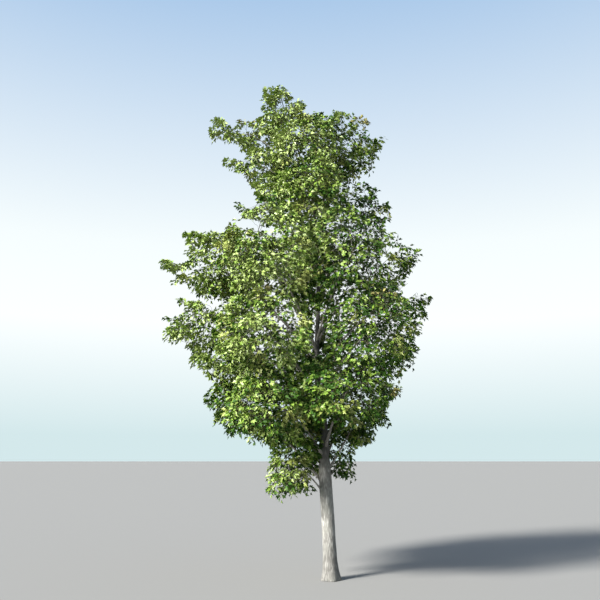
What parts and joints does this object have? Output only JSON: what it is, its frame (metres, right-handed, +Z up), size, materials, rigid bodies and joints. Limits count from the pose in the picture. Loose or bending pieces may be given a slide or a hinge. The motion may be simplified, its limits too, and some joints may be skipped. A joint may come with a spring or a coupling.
{
  "type": "maple tree",
  "caption": "Whole upright broadleaf tree: a leaning trunk with a root flare, boughs that climb away from it, and an irregular oval crown of separate masses of lobed leaves.",
  "frame": {"origin": "middle of the flat cut under the trunk, at ground level", "axes": "+Z up along the tree's height; +X to the right and +Y away as the tree is seen from its front"},
  "size_m": [6.44, 5.6713, 12],
  "materials": {
    "bark": "grey, shallow furrows and plates, matt",
    "young_bark": "smooth pale grey bark, matt",
    "leaf_light": "yellow-green lobed leaves, satin",
    "leaf_mid": "mid-green lobed leaves, satin",
    "leaf_deep": "deep green lobed leaves, satin",
    "leaf_olive": "olive and bronze young lobed leaves, satin"
  },
  "bodies": {
    "root": {"bough_arm_left": "young_bark", "bough_arm_right": "young_bark", "bough_high_left": "young_bark", "bough_high_left_arm": "young_bark", "bough_high_right": "young_bark", "bough_low_left": "young_bark", "bough_low_right": "young_bark", "bough_middle_back_left": "young_bark", "bough_middle_back_right": "young_bark", "bough_middle_front_left": "young_bark", "bough_middle_front_right": "young_bark", "bough_middle_left": "young_bark", "bough_middle_right": "young_bark", "bough_shoulder_back_left": "young_bark", "bough_shoulder_back_right": "young_bark", "bough_shoulder_front": "young_bark", "bough_shoulder_front_left": "young_bark", "bough_shoulder_left": "young_bark", "bough_shoulder_right": "young_bark", "bough_skirt_back_left": "young_bark", "bough_skirt_back_right": "young_bark", "bough_skirt_front": "young_bark", "bough_skirt_front_left": "young_bark", "bough_skirt_left": "young_bark", "bough_skirt_right": "young_bark", "bough_upper_left": "young_bark", "bough_upper_right": "young_bark", "leaves_arm_left": "leaf_light", "leaves_arm_right": "leaf_olive", "leaves_crown_top": "leaf_light", "leaves_high_back": "leaf_deep", "leaves_high_front": "leaf_mid", "leaves_high_left": "leaf_light", "leaves_high_left_arm": "leaf_light", "leaves_high_right": "leaf_olive", "leaves_low_left": "leaf_light", "leaves_low_right": "leaf_olive", "leaves_middle_back_left": "leaf_deep", "leaves_middle_back_right": "leaf_deep", "leaves_middle_front_left": "leaf_mid", "leaves_middle_front_right": "leaf_mid", "leaves_middle_left": "leaf_light", "leaves_middle_right": "leaf_deep", "leaves_shoulder_back_left": "leaf_deep", "leaves_shoulder_back_right": "leaf_deep", "leaves_shoulder_front": "leaf_mid", "leaves_shoulder_front_left": "leaf_mid", "leaves_shoulder_left": "leaf_light", "leaves_shoulder_right": "leaf_olive", "leaves_skirt_back_left": "leaf_deep", "leaves_skirt_back_right": "leaf_deep", "leaves_skirt_front": "leaf_mid", "leaves_skirt_front_left": "leaf_mid", "leaves_skirt_left": "leaf_mid", "leaves_skirt_right": "leaf_olive", "leaves_upper_back": "leaf_deep", "leaves_upper_front": "leaf_mid", "leaves_upper_left": "leaf_light", "leaves_upper_right": "leaf_deep", "trunk": "bark"}
  },
  "joints": []
}
